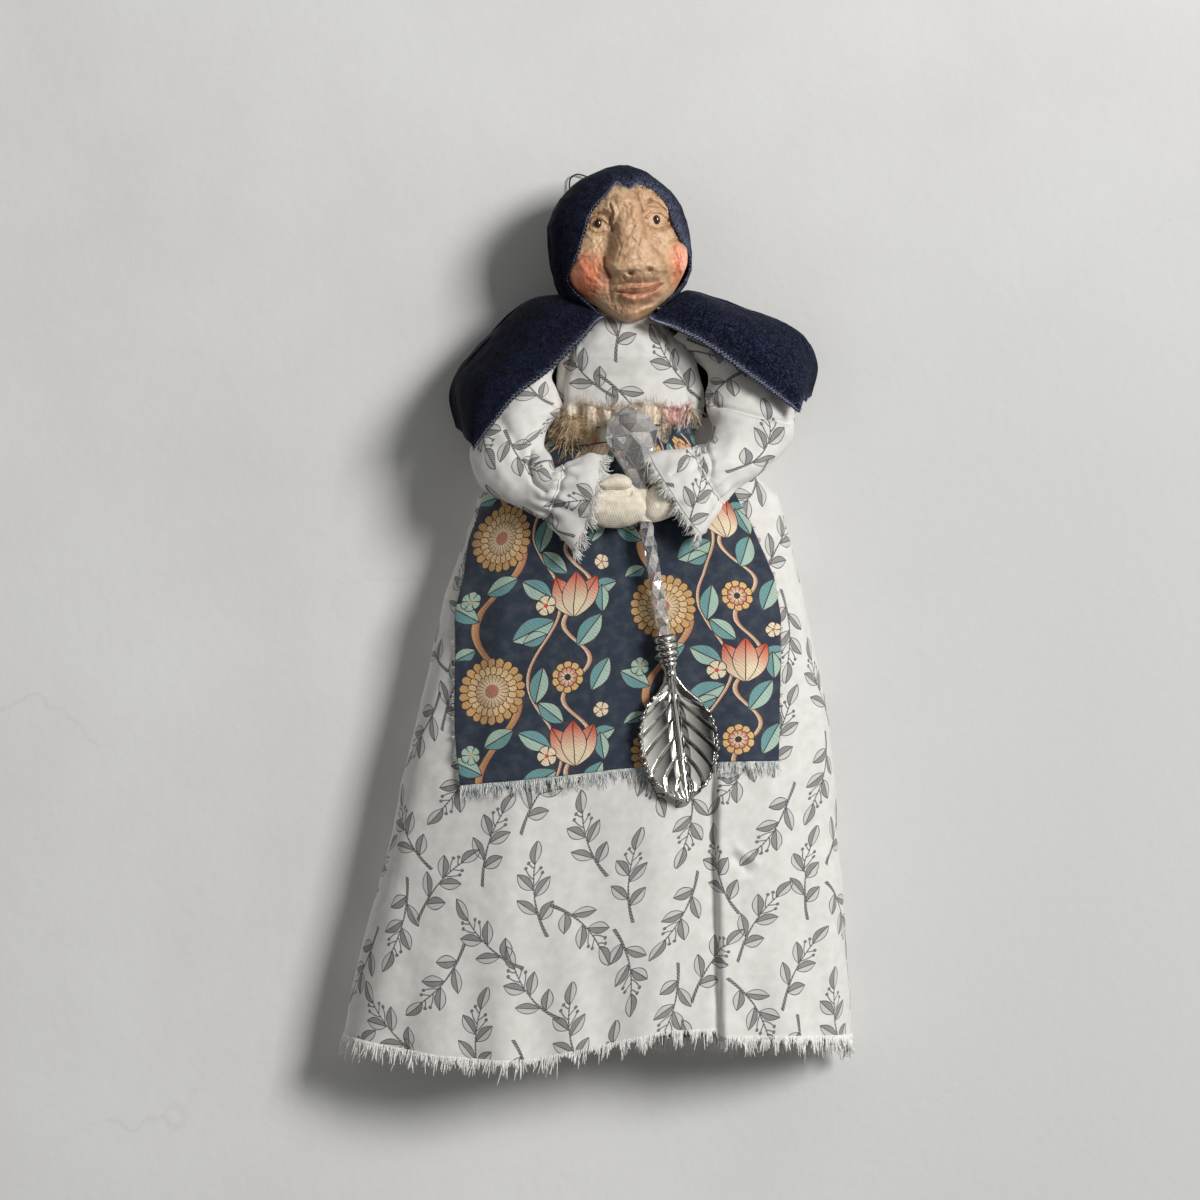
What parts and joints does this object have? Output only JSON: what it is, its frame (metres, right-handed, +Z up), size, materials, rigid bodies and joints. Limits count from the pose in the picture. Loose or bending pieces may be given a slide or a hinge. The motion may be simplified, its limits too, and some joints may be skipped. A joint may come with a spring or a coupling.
{
  "type": "apple head doll",
  "caption": "Hanging apple head doll in a hooded capelet, printed dress and apron, holding a leaf spoon; its head turns, its arms lift and the spoon slides.",
  "frame": {"origin": "the nail in the wall that the hanging loop rests on; y = 0 is the wall's face", "axes": "+Z up, -Y out of the wall towards the viewer, +X to the viewer's right"},
  "size_m": [0.1712, 0.053, 0.2987],
  "materials": {
    "painted_apple": "matte, wrinkled, painted",
    "eye_glass": "polished",
    "cape_cloth": "mottled, soft",
    "stuffed_muslin": "plain",
    "dowel_wood": "bare",
    "dress_cotton": "printed with leaf sprigs",
    "apron_cotton": "printed with flowers",
    "cotton_thread": "twisted",
    "hand_muslin": "stuffed, plain weave",
    "arm_wire": "plain",
    "clear_glass": "faceted, polished",
    "spoon_metal": "silvery, dark in the grooves",
    "waxed_cord": "waxed"
  },
  "bodies": {
    "body": {"torso": "stuffed_muslin", "neck_dowel": "dowel_wood", "bodice": "dress_cotton", "skirt": "dress_cotton", "apron": "apron_cotton", "apron_frill": "apron_cotton", "waist_tie": "cotton_thread", "capelet": "cape_cloth", "upper_sleeve_left": "dress_cotton", "upper_sleeve_right": "dress_cotton", "upper_arm_wire_left": "arm_wire", "upper_arm_wire_right": "arm_wire", "hanging_loop": "waxed_cord"},
    "head": {"apple_head": "painted_apple", "eye_bead_left": "eye_glass", "eye_bead_right": "eye_glass", "hood": "cape_cloth"},
    "arms": {"fore_sleeve_left": "dress_cotton", "fore_sleeve_right": "dress_cotton", "cuff_left": "dress_cotton", "cuff_right": "dress_cotton", "wrist_tie_left": "cotton_thread", "wrist_tie_right": "cotton_thread", "hand_left": "hand_muslin", "hand_right": "hand_muslin", "forearm_wire_left": "arm_wire", "forearm_wire_right": "arm_wire"},
    "spoon": {"spoon_handle": "clear_glass", "spoon_ferrule": "spoon_metal", "spoon_bowl": "spoon_metal"}
  },
  "joints": [
    {"name": "head_turn", "type": "hinge", "parent": "body", "child": "head", "pos_m": [0, -0.023, -0.046], "axis": [0, 0, 1], "range_deg": [-30, 30]},
    {"name": "arm_lift", "type": "hinge", "parent": "body", "child": "arms", "pos_m": [0, -0.0285, -0.0905], "axis": [-1, 0, 0], "range_deg": [0, 22]},
    {"name": "spoon_slide", "type": "slide", "parent": "arms", "child": "spoon", "axis": [-0.1628, 0, 0.9867], "range_m": [0, 0.01]}
  ]
}
